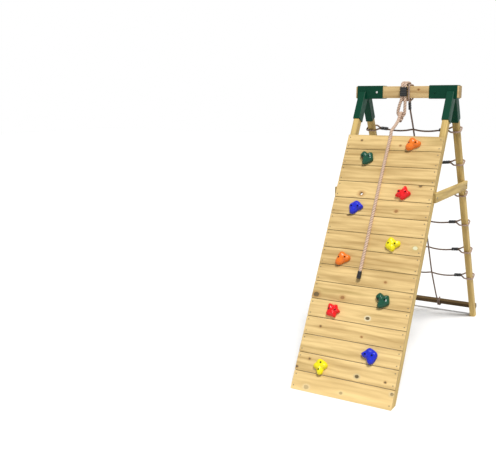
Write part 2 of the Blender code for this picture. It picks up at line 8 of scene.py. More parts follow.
import bmesh
import bpy
from mathutils import Matrix, Vector, noise


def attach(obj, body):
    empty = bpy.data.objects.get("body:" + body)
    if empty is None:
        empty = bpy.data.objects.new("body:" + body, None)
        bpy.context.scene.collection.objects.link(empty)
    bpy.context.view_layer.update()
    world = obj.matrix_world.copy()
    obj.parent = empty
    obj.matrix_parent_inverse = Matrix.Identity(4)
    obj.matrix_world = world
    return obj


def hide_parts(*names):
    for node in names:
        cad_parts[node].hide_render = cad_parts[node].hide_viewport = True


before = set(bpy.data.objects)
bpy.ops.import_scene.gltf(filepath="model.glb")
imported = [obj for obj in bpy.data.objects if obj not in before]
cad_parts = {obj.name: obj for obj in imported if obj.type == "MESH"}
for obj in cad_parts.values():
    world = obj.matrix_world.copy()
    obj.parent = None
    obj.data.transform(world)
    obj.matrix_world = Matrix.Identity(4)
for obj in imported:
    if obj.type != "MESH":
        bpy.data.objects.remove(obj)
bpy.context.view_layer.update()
scene = bpy.context.scene

# --- sizes and places ---
# They are the solid model's, apart from the sling ferrule's wall, the ropes' strands and the holds' bays.
LEAN = math.radians(29.0)
SIN, COS = math.sin(LEAN), math.cos(LEAN)
APEX_Z = 2.0914
GAP = 0.0003
FRONT, BACK = -1, 1
HANDS = (("left", -1), ("right", 1))
FOOT_SPARE, LEG_SPARE = 0.03, 0.05  # cut off level at the ground
PLANED_EDGE = 0.003

LEG_X, LEG_DEPTH, LEG_TOP, LEG_ROUND = 0.045, 0.063, 0.1217, 0.006
BEAM_HALF_LENGTH, BEAM_DEPTH, BEAM_HEIGHT, BEAM_TOP_Z = 0.403, 0.090, 0.090, 2.097
BEAM_LOW_Z, BEAM_ROUND = BEAM_TOP_Z - BEAM_HEIGHT, 0.004
WALL_HALF_WIDTH = 0.368
LEG_CENTRE_X = WALL_HALF_WIDTH - LEG_X / 2
BOARD_COUNT, BOARD_PITCH, BOARD_GAP, BOARD_THICKNESS = 15, 0.1326, 0.0026, 0.020
BOARD_BACK = LEG_DEPTH / 2 + GAP
WALL_FACE = BOARD_BACK + BOARD_THICKNESS
WALL_FOOT_Z = 0.001
WALL_TOP_DOWN = (APEX_Z + WALL_FACE * SIN - WALL_FOOT_Z) / COS - BOARD_COUNT * BOARD_PITCH
TOP_BOARD_TRIM = 0.010
SPARE_HOLE = (-0.162, 0.491, 0.011)  # across, down the wall, radius
BRACE_HALF_LENGTH, BRACE_HEIGHT, BRACE_THICKNESS, BRACE_Z = 0.460, 0.072, 0.020, 1.309
BAR_DEPTH, BAR_HEIGHT, BAR_DOWN = 0.034, 0.043, 2.309
BAR_OUT = LEG_DEPTH / 2 + GAP + BAR_DEPTH / 2

NET_RADIUS, NET_LANE, NET_CLEARANCE = 0.007, 0.0073, 0.0006
RUNG_COUNT, RUNG_TOP_Z, RUNG_PITCH_Z = 6, 1.764, 0.2665
RUNG_SAG, RUNG_END_SLOPE = 0.010, 0.11
FERRULE_X, FERRULE_LENGTH, FERRULE_WALL = 0.238, 0.056, 0.0026
CENTRE_TOP_X, CENTRE_FOOT_X = 0.0285, 0.014
CENTRE_FERRULE = ((-0.022, 1.976), (-0.0075, 1.922))  # its ends: y, z
FOOT_LANE, FOOT_FERRULE_LENGTH, FOOT_FERRULE_DROP = 0.0064, 0.024, 0.013
BORE_CLEARANCE, FERRULE_PINCH, FERRULE_RIBS = 0.0005, 0.16, 3

ROPE_RADIUS = 0.012
SLING_X, SLING_Y, SLING_LANE, SLING_RISE = -0.010, -0.0640, 0.0124, 0.012
SLING_FERRULE_LOW, SLING_FERRULE_HIGH, SLING_FERRULE_WALL = 2.0200, 2.0900, 0.0044
SLING_ENDS_Z = SLING_FERRULE_LOW + 0.014
LINK_X, LINK_Y, LINK_Z = -0.0215, SLING_Y, 1.870  # where the rope's eye hangs in the sling's
EYE_HALF_WIDTH = 0.0265
CAP_RADIUS, CAP_LENGTH = 0.016, 0.058
ROPE_STANDOFF, ROPE_END = 0.0016, 1.088

# A laid rope's strands, their groove, rise and lay in radii, and the distance between its mesh's rings.
STRANDS, GROOVE, STRAND_RISE, LAY = 3, 0.80, 0.21, 5.2
ROPE_STEP, NET_STEP, NET_SIDES = 0.003, 0.0025, 12

SCREW_INSET, SCREW_X = 0.024, LEG_CENTRE_X + 0.004
BRACKET_BOLT_X, SLEEVE_REACH = 0.228, 0.0057

HOLD_HEIGHT, HOLD_SCREW_SPACING, HOLD_SCREW_UP, HOLD_SCREW_SEAT = 0.040, 0.050, 0.004, 0.014
LEFT_X, RIGHT_X = -0.180, 0.153
HOLDS = (
    (RIGHT_X, 0.081, "orange", "wedge", 0),
    (LEFT_X, 0.205, "green", "cleft", 0),
    (RIGHT_X, 0.470, "red", "star", 0),
    (LEFT_X, 0.607, "blue", "fin", 0),
    (RIGHT_X, 0.864, "yellow", "clover", 0),
    (LEFT_X - 0.012, 1.006, "orange", "wedge", 4),
    (RIGHT_X + 0.010, 1.273, "green", "cleft", -4),
    (LEFT_X, 1.394, "red", "paw", 0),
    (RIGHT_X, 1.665, "blue", "scoop", 0),
    (LEFT_X, 1.798, "yellow", "clover", -95),
)
# Radii from a hold's middle, and how much the outlines below are stretched from the mean.
HOLD_MEAN, HOLD_DEEPEST, HOLD_FURTHEST, HOLD_BAYS = 0.050, 0.035, 0.060, 1.35
HOLD_STEPS, HOLD_VALLEY, HOLD_LUMP_SCALE, HOLD_LUMPS = 120, 0.38, 34, 0.0022
# From the wall outwards, then in to the dished crown: height and width as shares of the whole.
HOLD_LEVELS = (
    (0.0, 0.93), (0.14, 0.985), (0.34, 1.0), (0.54, 0.975), (0.71, 0.915), (0.84, 0.82),
    (0.93, 0.70), (0.98, 0.57), (0.99, 0.44), (0.95, 0.28), (0.92, 0.12),
)
# Outlines from the front: lobes and the bays between them as angle and radius in mm.
HOLD_FORMS = {
    "wedge": ((8, 60), (55, 43), (104, 52), (165, 43), (225, 59), (300, 39)),
    "clover": ((15, 64), (62, 41), (110, 55), (160, 47), (205, 50), (245, 44), (280, 50), (325, 39)),
    "cleft": ((-14, 56), (18, 51), (48, 55), (84, 42), (118, 55), (157, 53), (205, 34), (252, 55), (308, 50)),
    "star": (
        (0, 58), (40, 44), (77, 55), (115, 36), (153, 47),
        (180, 44), (207, 55), (238, 43), (270, 50), (320, 46),
    ),
    "paw": (
        (-2, 55), (28, 43), (58, 50), (92, 42), (126, 54),
        (176, 42), (227, 53), (265, 45), (301, 55), (330, 43),
    ),
    "fin": ((9, 58), (45, 49), (87, 52), (125, 47), (162, 50), (200, 46), (241, 56), (318, 36)),
    "scoop": ((23, 56), (60, 50), (98, 53), (137, 47), (175, 56), (231, 35), (289, 60), (335, 52)),
}

TIMBER_TONE, BOARD_GAP_SHADE = 0.08, 0.85  # how much darker the legs and beam are, and the painted shade on the boards' faces in the gaps between them
# How much darker than usual each board is, from the top.
BOARD_TONES = (0.10, 0.20, 0.14, 0.08, 0.14, 0.12, 0.08, 0.16, 0.08, 0.02, 0.04, 0.02, 0.0, 0.03, 0.08)

# Knots in the beam: along, up, radius, kind. Those in the boards: across, down the wall, radius, kind.
BEAM_KNOTS = ((0.020, 0.022, 0.006, "brown"), (-0.004, -0.004, 0.005, "dark"), (0.100, 0.018, 0.005, "brown"))
BOARD_KNOTS = (
    (0.318, 0.869, 0.010, "pale"), (0.083, 1.411, 0.009, "eye"), (0.092, 1.817, 0.009, "black"),
    (-0.334, 1.294, 0.013, "dark"), (-0.131, 1.291, 0.009, "brown"), (-0.253, 1.959, 0.011, "grey"),
    (0.005, 1.948, 0.007, "black"), (0.354, 1.885, 0.008, "black"), (0.129, 0.608, 0.008, "brown"),
    (0.269, 0.403, 0.007, "dark"), (-0.227, 0.667, 0.006, "dark"), (-0.251, 0.057, 0.005, "dark"),
    (0.059, 0.091, 0.005, "brown"), (0.157, 1.139, 0.006, "brown"), (0.294, 1.817, 0.005, "dark"),
    (-0.247, 1.520, 0.005, "dark"), (0.068, 1.545, 0.005, "brown"), (-0.358, 1.831, 0.006, "dark"),
    (-0.274, 1.761, 0.005, "dark"), (-0.162, 0.491, 0.0125, "brown"),
)

# The outlines of the turned fixings: radius, height.
BOARD_SCREW = (
    (0.0, 0.0002), (0.0012, 0.0002), (0.0016, 0.0010), (0.0036, 0.0009), (0.0040, 0.0002),
    (0.0040, -0.002), (0.0, -0.002),
)
HOLD_SCREW = (
    (0.0, 0.0102), (0.0022, 0.0102), (0.0025, 0.0128), (0.0040, 0.0132), (0.0051, 0.0122),
    (0.0053, 0.0), (0.0, 0.0),
)
HOLD_RECESS = ((0, 0), (0.0072, 0), (0.0072, 0.04), (0, 0.04))
BRACE_BOLT = ((0.0, 0.0040), (0.003, 0.0038), (0.0056, 0.0024), (0.0066, 0.0004), (0.0066, 0.0), (0.0, 0.0))
BRACKET_BOLT = ((0.0, 0.006), (0.0035, 0.0057), (0.0075, 0.0035), (0.0088, 0.0008), (0.0088, 0.0), (0.0, 0.0))


# --- camera and light ---
CAMERA_PLACE = (1.743, -5.411, 2.008)
CAMERA_DOWN, CAMERA_ROLL, CAMERA_ROUND = 10.77, 0.06, 30.34  # degrees
CAMERA_LENS, CAMERA_SENSOR = 51.26, 36.0  # millimetres
ROOM_COLOUR, ROOM_STRENGTH, BACKDROP_IN_GLOSS = (0.97, 0.985, 1.0, 1), 0.28, 0.55
SUN_FROM, SUN_SPREAD, SUN_STRENGTH = (1.9, -2.5, 5.8), 16, 3.3
SUN_COLOUR = (1.0, 0.995, 0.985)
FLOOR_HALF_WIDTH = 30
FLOOR_DULL, FLOOR_BRIGHT = (0.93, 0.93, 0.93), (0.95, 0.95, 0.95)


def make_camera():
    data = bpy.data.cameras.new("camera")
    data.sensor_width = CAMERA_SENSOR
    data.lens = CAMERA_LENS
    camera = bpy.data.objects.new("camera", data)
    camera.location = CAMERA_PLACE
    camera.rotation_euler = [math.radians(a) for a in (90 - CAMERA_DOWN, CAMERA_ROLL, CAMERA_ROUND)]
    scene.collection.objects.link(camera)
    scene.camera = camera
    scene.view_settings.view_transform = "Standard"


def make_room():
    """Soft light from all round, with a white backdrop that the camera and, in part, reflections see."""
    world = bpy.data.worlds.new("world")
    scene.world = world
    world.use_nodes = True
    tree = world.node_tree
    soft = tree.nodes["Background"]
    soft.inputs["Color"].default_value = ROOM_COLOUR
    soft.inputs["Strength"].default_value = ROOM_STRENGTH
    white = tree.nodes.new("ShaderNodeBackground")
    white.inputs["Color"].default_value = (1, 1, 1, 1)
    path = tree.nodes.new("ShaderNodeLightPath")
    mix = tree.nodes.new("ShaderNodeMixShader")
    seen = tree.nodes.new("ShaderNodeMath")
    seen.operation = "MULTIPLY_ADD"
    seen.inputs[1].default_value = BACKDROP_IN_GLOSS
    tree.links.new(path.outputs["Is Glossy Ray"], seen.inputs[0])
    tree.links.new(path.outputs["Is Camera Ray"], seen.inputs[2])
    tree.links.new(seen.outputs[0], mix.inputs[0])
    tree.links.new(soft.outputs[0], mix.inputs[1])
    tree.links.new(white.outputs[0], mix.inputs[2])
    tree.links.new(mix.outputs[0], tree.nodes["World Output"].inputs["Surface"])


def make_sun():
    """The key light, from high in front of the boards."""
    data = bpy.data.lights.new("key", "SUN")
    data.angle = math.radians(SUN_SPREAD)
    data.energy = SUN_STRENGTH
    data.color = SUN_COLOUR
    lamp = bpy.data.objects.new("key", data)
    lamp.rotation_euler = (-Vector(SUN_FROM)).to_track_quat("-Z", "Y").to_euler()
    scene.collection.objects.link(lamp)


def make_floor():
    mesh = bpy.data.meshes.new("floor")
    bm = bmesh.new()
    bmesh.ops.create_grid(bm, x_segments=1, y_segments=1, size=FLOOR_HALF_WIDTH)
    bm.to_mesh(mesh)
    bm.free()
    floor = bpy.data.objects.new("floor", mesh)
    scene.collection.objects.link(floor)
    surface = Look("floor")
    clouds = surface.noise(surface.place(), 3.0, 2)
    surface.finish(surface.mix(clouds, FLOOR_DULL, FLOOR_BRIGHT), 0.9)
    mesh.materials.append(surface.material)


# --- looks ---
def srgb(red, green, blue):
    """Screen colour values, 0 to 255, as a shader's linear colour."""
    return tuple(
        v / 255 / 12.92 if v <= 10 else ((v / 255 + 0.055) / 1.055) ** 2.4 for v in (red, green, blue)
    )


def scaled(colour, factor):
    return tuple(factor * v for v in colour)


def on_axes(others, values):
    """Three numbers: `others`, except on the axes that `values` names."""
    return tuple(values.get(axis, others) for axis in range(3))


class Look:
    """A material being built. Each step adds nodes and returns an output socket."""

    def __init__(self, name):
        self.material = bpy.data.materials.new(name)
        self.material.use_nodes = True
        self.tree = self.material.node_tree
        self.surface = self.tree.nodes["Principled BSDF"]

    def feed(self, socket, value):
        if isinstance(value, bpy.types.NodeSocket):
            self.tree.links.new(value, socket)
        elif isinstance(value, tuple) and len(value) == 3 and socket.type == "RGBA":
            socket.default_value = (*value, 1.0)
        else:
            socket.default_value = value

    def node(self, kind, inputs=None, output=0, **settings):
        made = self.tree.nodes.new("ShaderNode" + kind)
        for key, value in settings.items():
            setattr(made, key, value)
        for key, value in (inputs or {}).items():
            self.feed(made.inputs[key], value)
        return made.outputs[output]

    def place(self, kind="Object"):
        return self.node("TexCoord", output=kind)

    def math(self, operation, *values):
        return self.node("Math", dict(enumerate(values)), operation=operation)

    def vector(self, operation, a, b):
        return self.node("VectorMath", {0: a, 1: b}, operation=operation)

    def axis(self, vector, index):
        return self.node("SeparateXYZ", {0: vector}, output=index)

    def mix(self, share, a, b):
        made = self.tree.nodes.new("ShaderNodeMix")
        made.data_type = "RGBA"
        for index, value in ((0, share), (6, a), (7, b)):
            self.feed(made.inputs[index], value)
        return made.outputs[2]

    def ease(self, value, start, end):
        """0 at start, 1 at end, smooth between."""
        inputs = {"Value": value, "From Min": start, "From Max": end}
        return self.node("MapRange", inputs, interpolation_type="SMOOTHSTEP")

    def noise(self, vector, scale, detail=3):
        return self.node("TexNoise", {"Vector": vector, "Scale": scale, "Detail": detail})

    def finish(self, colour, roughness, height=None, depth=0.0, **others):
        """Sets the surface: `height` from 0 to 1 becomes bumps about `depth` metres deep."""
        self.feed(self.surface.inputs["Base Color"], colour)
        self.feed(self.surface.inputs["Roughness"], roughness)
        for key, value in others.items():
            self.feed(self.surface.inputs[key.replace("_", " ")], value)
        if height is not None:
            bump = self.node("Bump", {"Height": height, "Distance": depth, "Strength": 1.0})
            self.feed(self.surface.inputs["Normal"], bump)
        return self.material


# A knot's core, and the ring round it.
KNOT_COLOURS = {
    "pale": (srgb(206, 208, 176), srgb(176, 158, 100)),
    "brown": (srgb(132, 84, 44), srgb(176, 130, 76)),
    "dark": (srgb(58, 40, 28), srgb(160, 112, 62)),
    "grey": (srgb(96, 92, 84), srgb(196, 184, 150)),
    "black": (srgb(22, 20, 20), srgb(176, 164, 132)),
    "eye": (srgb(20, 24, 26), srgb(216, 214, 190)),
}


def drawn_round_knots(look, place, grain_place, along, across, knots):
    """The grain's place drawn in round each knot, and (distance from its middle in radii, kind) for each."""
    only_across = on_axes(0.0, {across: 1.0})
    distances = []
    for a, c, radius, kind in knots:
        middle = on_axes(0.0, {along: a, across: c})
        squeeze = on_axes(0.0, {along: 0.80 / radius, across: 1.0 / radius})
        reach = look.vector("MULTIPLY", look.vector("SUBTRACT", place, middle), squeeze)
        wobble = look.math("MULTIPLY", look.noise(place, 140, 2), 0.7)
        length = look.node("VectorMath", {0: reach}, output="Value", operation="LENGTH")
        distance = look.math("SUBTRACT", length, wobble)
        pull = look.math("MULTIPLY", look.ease(distance, 4.5, 0.0), -0.75 * radius)
        aside = look.vector("MULTIPLY", reach, only_across)
        swirl = look.node("VectorMath", {0: aside, "Scale": pull}, operation="SCALE")
        grain_place = look.vector("ADD", grain_place, swirl)
        distances.append((distance, kind))
    return grain_place, distances


def grain(look, shifted, flow, along, across, light, dark, tone_shift):
    """Growth bands, fibres, darker patches and greenish treatment: (bands, fibre, colour)."""
    stretch = on_axes(1.0, {along: 0.11})
    banded = look.vector("MULTIPLY", flow, stretch)
    bands = look.node(
        "TexWave",
        {"Vector": banded, "Scale": 7.5, "Distortion": 11.0, "Detail": 3.0, "Detail Scale": 1.1},
        output="Fac",
        bands_direction="XYZ"[across],
    )
    late = look.math("POWER", bands, 2.2)
    fibre = look.noise(look.vector("MULTIPLY", flow, on_axes(300.0, {along: 7.0})), 1.0, 4)
    patch = look.ease(look.noise(banded, 24.0, 3), 0.34, 0.68)
    tone = look.math("MULTIPLY_ADD", late, 0.24, look.math("MULTIPLY", fibre, 0.50))
    tone = look.math("MULTIPLY_ADD", patch, 0.40, look.math("ADD", tone, tone_shift - 0.16))
    colour = look.mix(tone, light, dark)
    treated = look.ease(look.noise(look.vector("MULTIPLY", shifted, stretch), 15.0, 2), 0.52, 0.78)
    olive = tuple(v * tint for v, tint in zip(dark, (0.86, 1.02, 0.80)))
    return bands, fibre, look.mix(look.math("MULTIPLY", treated, 0.55), colour, olive)


def with_knots(look, colour, distances):
    for distance, kind in distances:
        core, ring = KNOT_COLOURS[kind]
        colour = look.mix(look.math("MULTIPLY", look.ease(distance, 2.5, 1.1), 0.70), colour, ring)
        colour = look.mix(look.ease(distance, 1.10, 0.85), colour, core)
    return colour


def with_painted_gap_shade(look, colour, across, dark, strength):
    """Painted shade on the faces that look across the grain, which are the gaps between boards."""
    aside = look.math("ABSOLUTE", look.axis(look.place("Normal"), across))
    # Painted shade: the faces in the gaps between boards are coloured nearly black.
    painted_shade = look.math("MULTIPLY", look.ease(aside, 0.55, 0.95), strength)
    return look.mix(painted_shade, colour, scaled(dark, 0.12))


def with_end_grain(look, colour, shifted, along, light, dark):
    facing = look.math("ABSOLUTE", look.axis(look.place("Normal"), along))
    rings = look.node(
        "TexWave",
        {"Vector": shifted, "Scale": 60.0, "Distortion": 2.0, "Detail": 2.0},
        output="Fac",
        wave_type="RINGS",
        rings_direction="XYZ"[along],
    )
    end_grain = look.mix(rings, scaled(light, 0.72), scaled(dark, 0.55))
    return look.mix(look.ease(facing, 0.75, 0.9), colour, end_grain)


def with_painted_edge_highlight(look, colour, light):
    # Painted highlight: the sharp rounded edges are coloured paler, where they catch the light.
    edge_highlight = look.ease(look.node("NewGeometry", output="Pointiness"), 0.52, 0.60)
    pale = tuple(min(1.0, v) for v in scaled(light, 1.25))
    return look.mix(look.math("MULTIPLY", edge_highlight, 0.45), colour, pale)


def wood(name, light, dark, along, across, knots=(), tone_shift=0.0, gap_shade=0.0):
    """Softwood with its grain along one axis: growth bands, fibres, end grain, knots, a painted highlight on
    the edges, and painted shade on the faces in the gaps between boards where its last argument asks for it.

    knots are (along, across, radius, kind), in the piece's own frame.
    """
    look = Look(name)
    place = look.place()
    own = look.node("ObjectInfo", output="Random")
    offset = look.node("CombineXYZ", {i: look.math("MULTIPLY", own, 9 - 2 * i) for i in range(3)})
    shifted = look.vector("ADD", place, offset)
    flow, distances = drawn_round_knots(look, place, shifted, along, across, knots)
    bands, fibre, colour = grain(look, shifted, flow, along, across, light, dark, tone_shift)
    colour = with_knots(look, colour, distances)
    if gap_shade:
        colour = with_painted_gap_shade(look, colour, across, dark, gap_shade)
    colour = with_end_grain(look, colour, shifted, along, light, dark)
    colour = with_painted_edge_highlight(look, colour, light)
    height = look.math("MULTIPLY_ADD", bands, 0.35, fibre)
    return look.finish(colour, look.ease(fibre, -1.4, 1.9), height, 0.00035, Specular_IOR_Level=0.15)


def powder_coat(name, colour):
    """Painted steel: faint clouds and an orange-peel skin."""
    look = Look(name)
    peel = look.noise(look.place(), 520, 2)
    cloud = look.noise(look.place(), 14, 3)
    tone = look.mix(cloud, colour, scaled(colour, 0.72))
    return look.finish(tone, look.ease(cloud, -1.4, 2.9), peel, 0.0002, Specular_IOR_Level=0.14)


def moulded(name, colour):
    """Cast resin: even colour with faint clouds and specks, and a fine pitted skin."""
    look = Look(name)
    place = look.place()
    cloud = look.noise(place, 35, 3)
    specks = look.ease(look.noise(place, 900, 1), 0.66, 0.74)
    deep = scaled(colour, 0.78)
    pale = tuple(0.8 * v + 0.10 for v in colour)
    body = look.mix(look.math("MULTIPLY", specks, 0.35), look.mix(cloud, colour, deep), pale)
    skin = look.noise(place, 420, 3)
    return look.finish(body, look.ease(cloud, -0.7, 2.7), skin, 0.0003, Specular_IOR_Level=0.35)


def glossy_black(name):
    look = Look(name)
    marks = look.noise(look.place(), 160, 4)
    colour = look.mix(marks, (0.006, 0.006, 0.007), (0.014, 0.014, 0.015))
    return look.finish(colour, look.ease(marks, -0.1, 3.6), marks, 0.00015, Specular_IOR_Level=0.6)


def zinc(name, colour):
    look = Look(name)
    spangle = look.noise(look.place(), 380, 3)
    tone = look.mix(spangle, colour, scaled(colour, 0.7))
    return look.finish(tone, look.ease(spangle, -0.6, 2.0), spangle, 0.0001, Metallic=0.9)


def laid(name, light, dark, shaded_within=0.0, shaded_below=0.0):
    """Three-strand rope. Its UV map runs along the rope in centimetres and round it, 1 for each strand.

    Nearer the middle of the frame than `shaded_within`, and below `shaded_below`, it is darker: painted shade
    where the wall and beam keep the light off the net.
    """
    look = Look(name)
    uv = look.place("UV")
    strand = look.math("FRACT", look.axis(uv, 1))
    from_crest = look.math("ABSOLUTE", look.math("MULTIPLY_ADD", strand, 2.0, -1.0))
    crest = look.math("SUBTRACT", 1.0, from_crest)
    slant = look.math("MULTIPLY_ADD", look.axis(uv, 1), 5.0, look.math("MULTIPLY", look.axis(uv, 0), 3.2))
    wave = look.math("SINE", look.math("MULTIPLY", slant, 2 * math.pi))
    yarn = look.math("MULTIPLY_ADD", wave, 0.5, 0.5)
    fuzz = look.noise(look.place(), 700, 4)
    soil = look.noise(look.place(), 22, 3)
    tone = look.math("MULTIPLY_ADD", yarn, 0.22, look.math("MULTIPLY", fuzz, 0.4))
    colour = look.mix(look.math("MULTIPLY_ADD", soil, 0.35, tone), light, dark)
    # Painted shade: darker inside the frame and below the beam, where the wall and beam shade the net.
    if shaded_within:
        sideways = look.math("ABSOLUTE", look.axis(look.place(), 0))
        inside = look.ease(sideways, shaded_within + 0.03, shaded_within - 0.03)
        under = look.ease(look.axis(look.place(), 2), shaded_below, shaded_below - 0.04)
        painted_shade = look.math("MULTIPLY", look.math("MULTIPLY", inside, under), 0.8)
        colour = look.mix(painted_shade, colour, scaled(dark, 0.62))
    shade = look.math("MULTIPLY", look.ease(crest, 0.50, 0.0), 0.80)
    colour = look.mix(shade, colour, scaled(dark, 0.35))
    height = look.math("MULTIPLY_ADD", yarn, 0.6, fuzz)
    return look.finish(colour, 0.85, height, 0.0006, Sheen_Weight=0.15)


BOARD_LIGHT, BOARD_DARK = srgb(232, 202, 142), srgb(146, 112, 60)
TIMBER_LIGHT, TIMBER_DARK = srgb(210, 182, 116), srgb(128, 98, 54)
BEAM_LIGHT, BEAM_DARK = srgb(226, 198, 144), srgb(160, 122, 74)
# Painted shade: the crossbar is coloured far darker than the other timber, for the shade it lies in behind
# the wall.
SHADED_BAR_LIGHT, SHADED_BAR_DARK = srgb(94, 74, 44), srgb(58, 42, 25)
GREEN = srgb(6, 66, 46)
HOLD_COLOURS = {
    "orange": (0.90, 0.20, 0.015),
    "green": (0.006, 0.080, 0.042),
    "red": (0.86, 0.008, 0.012),
    "blue": (0.012, 0.024, 0.58),
    "yellow": (0.92, 0.80, 0.008),
}


# --- shapes ---
def slope(side):
    """The frame of one leaning side: its origin at the apex, -Z down the slope, X along the beam."""
    return Matrix.Translation((0, 0, APEX_Z)) @ Matrix.Rotation(side * LEAN, 4, "X")


def on_slope(side, x, down, out):
    return slope(side) @ Vector((x, side * out, -down))


def wall_frame(x, down, turn=0.0):
    """On the wall's face, `down` from its top edge: Z out of the wall, Y up it."""
    face = slope(FRONT) @ Matrix.Translation((x, FRONT * (WALL_FACE + GAP), -(WALL_TOP_DOWN + down)))
    return face @ Matrix.Rotation(math.pi / 2, 4, "X") @ Matrix.Rotation(math.radians(turn), 4, "Z")


def frame_from(origin, along, across):
    """A frame at origin with Z along one direction and X close to another."""
    z = Vector(along).normalized()
    y = z.cross(Vector(across)).normalized()
    return Matrix.Translation(origin) @ Matrix((y.cross(z), y, z)).transposed().to_4x4()


def finish_mesh(mesh, look):
    mesh.materials.clear()
    mesh.materials.append(look)
    for face in mesh.polygons:
        face.use_smooth = True
        face.material_index = 0


def piece(name, mesh, look, body="frame", matrix=None, instead=()):
    """A shown piece on a body. It takes its finish from a material slot and may stand for CAD nodes."""
    made = bpy.data.objects.new(name, mesh)
    if matrix is not None:
        made.matrix_world = matrix
    scene.collection.objects.link(made)
    finish_mesh(mesh, look)
    bpy.context.view_layer.update()
    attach(made, body)
    if instead:
        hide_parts(*instead)
    return made


def mesh_from(bm, name, sharp=30):
    """The finished mesh, with hard edges where faces meet at more than `sharp` degrees."""
    bmesh.ops.recalc_face_normals(bm, faces=bm.faces)
    for edge in bm.edges:
        edge.smooth = len(edge.link_faces) != 2 or edge.calc_face_angle() < math.radians(sharp)
    mesh = bpy.data.meshes.new(name)
    bm.to_mesh(mesh)
    bm.free()
    return mesh


def timber_mesh(name, size, rounding, cut=None, segments=4):
    """A planed piece of timber with rounded edges, cut off below a plane (point, normal) if one is given."""
    bm = bmesh.new()
    bmesh.ops.create_cube(bm, size=1.0)
    bmesh.ops.scale(bm, vec=size, verts=bm.verts)
    bmesh.ops.bevel(bm, geom=bm.edges, offset=rounding, segments=segments, profile=0.5, affect="EDGES")
    if cut:
        geometry = bm.verts[:] + bm.edges[:] + bm.faces[:]
        made = bmesh.ops.bisect_plane(bm, geom=geometry, plane_co=cut[0], plane_no=cut[1], clear_inner=True)
        rim = [e for e in made["geom_cut"] if isinstance(e, bmesh.types.BMEdge)]
        bmesh.ops.contextual_create(bm, geom=rim)
    return mesh_from(bm, name, 40)


def level_cut(matrix, z):
    """The level plane at height z as (point, normal), in a piece's own frame."""
    back = matrix.inverted()
    return back @ Vector((matrix.translation.x, matrix.translation.y, z)), back.to_3x3() @ Vector((0, 0, 1))


def turned(name, profile, sides=24):
    """A turned shape: (radius, height) points, round the Z axis."""
    bm = bmesh.new()
    rows = []
    for radius, height in profile:
        if radius < 1e-6:
            rows.append([bm.verts.new((0, 0, height))] * sides)
            continue
        turns = [2 * math.pi * i / sides for i in range(sides)]
        rows.append([bm.verts.new((radius * math.cos(a), radius * math.sin(a), height)) for a in turns])
    for low, high in zip(rows, rows[1:]):
        for i in range(sides):
            j = (i + 1) % sides
            corners = list(dict.fromkeys((low[i], low[j], high[j], high[i])))
            if len(corners) > 2:
                bm.faces.new(corners)
    return mesh_from(bm, name)


def joined(name, mesh, places):
    """Copies of a mesh at several places, as one mesh."""
    bm = bmesh.new()
    for matrix in places:
        copy = mesh.copy()
        copy.transform(matrix)
        bm.from_mesh(copy)
        bpy.data.meshes.remove(copy)
    return mesh_from(bm, name)


def cut_out(target, cutter_mesh, places, sharp=30):
    """Cuts the cutter's shape out of a piece at each place, in the scene's frame."""
    cutter = bpy.data.objects.new("cutter", joined("cutter", cutter_mesh, places))
    scene.collection.objects.link(cutter)
    modifier = target.modifiers.new("cut", "BOOLEAN")
    modifier.operation = "DIFFERENCE"
    modifier.solver = "EXACT"
    modifier.object = cutter
    bpy.context.view_layer.update()
    shaped = target.evaluated_get(bpy.context.evaluated_depsgraph_get())
    bm = bmesh.new()
    bm.from_mesh(shaped.data)
    look = target.data.materials[0]
    target.modifiers.clear()
    target.data = mesh_from(bm, target.name, sharp)
    finish_mesh(target.data, look)
    bpy.data.objects.remove(cutter)


def smooth_route(route, spacing):
    """Points about `spacing` apart on a smooth curve (Catmull-Rom, centripetal) through a route's points."""
    points = [Vector(p) for p in route]
    points = [2 * points[0] - points[1], *points, 2 * points[-1] - points[-2]]
    dense = []
    for a, b, c, d in zip(points, points[1:], points[2:], points[3:]):
        ta = 0.0
        tb = ta + (b - a).length ** 0.5
        tc = tb + (c - b).length ** 0.5
        td = tc + (d - c).length ** 0.5
        steps = max(2, int((c - b).length / 0.001))
        for i in range(steps):
            t = tb + (tc - tb) * i / steps
            ab = a.lerp(b, (t - ta) / (tb - ta))
            bc = b.lerp(c, (t - tb) / (tc - tb))
            cd = c.lerp(d, (t - tc) / (td - tc))
            abc = ab.lerp(bc, (t - ta) / (tc - ta))
            bcd = bc.lerp(cd, (t - tb) / (td - tb))
            dense.append(abc.lerp(bcd, (t - tb) / (tc - tb)))
    dense.append(points[-2])
    along = [0.0]
    for p, q in zip(dense, dense[1:]):
        along.append(along[-1] + (q - p).length)
    count = max(2, round(along[-1] / spacing))
    result, i = [], 0
    for n in range(count + 1):
        want = along[-1] * n / count
        while i < len(along) - 2 and along[i + 1] < want:
            i += 1
        share = (want - along[i]) / (along[i + 1] - along[i])
        result.append(dense[i].lerp(dense[i + 1], min(1.0, max(0.0, share))))
    return result


def arc(centre, radius, start, end, steps):
    """Points (a, b) on an arc, angles in degrees."""
    turns = [math.radians(start + (end - start) * i / steps) for i in range(steps + 1)]
    return [(centre[0] + radius * math.cos(a), centre[1] + radius * math.sin(a)) for a in turns]


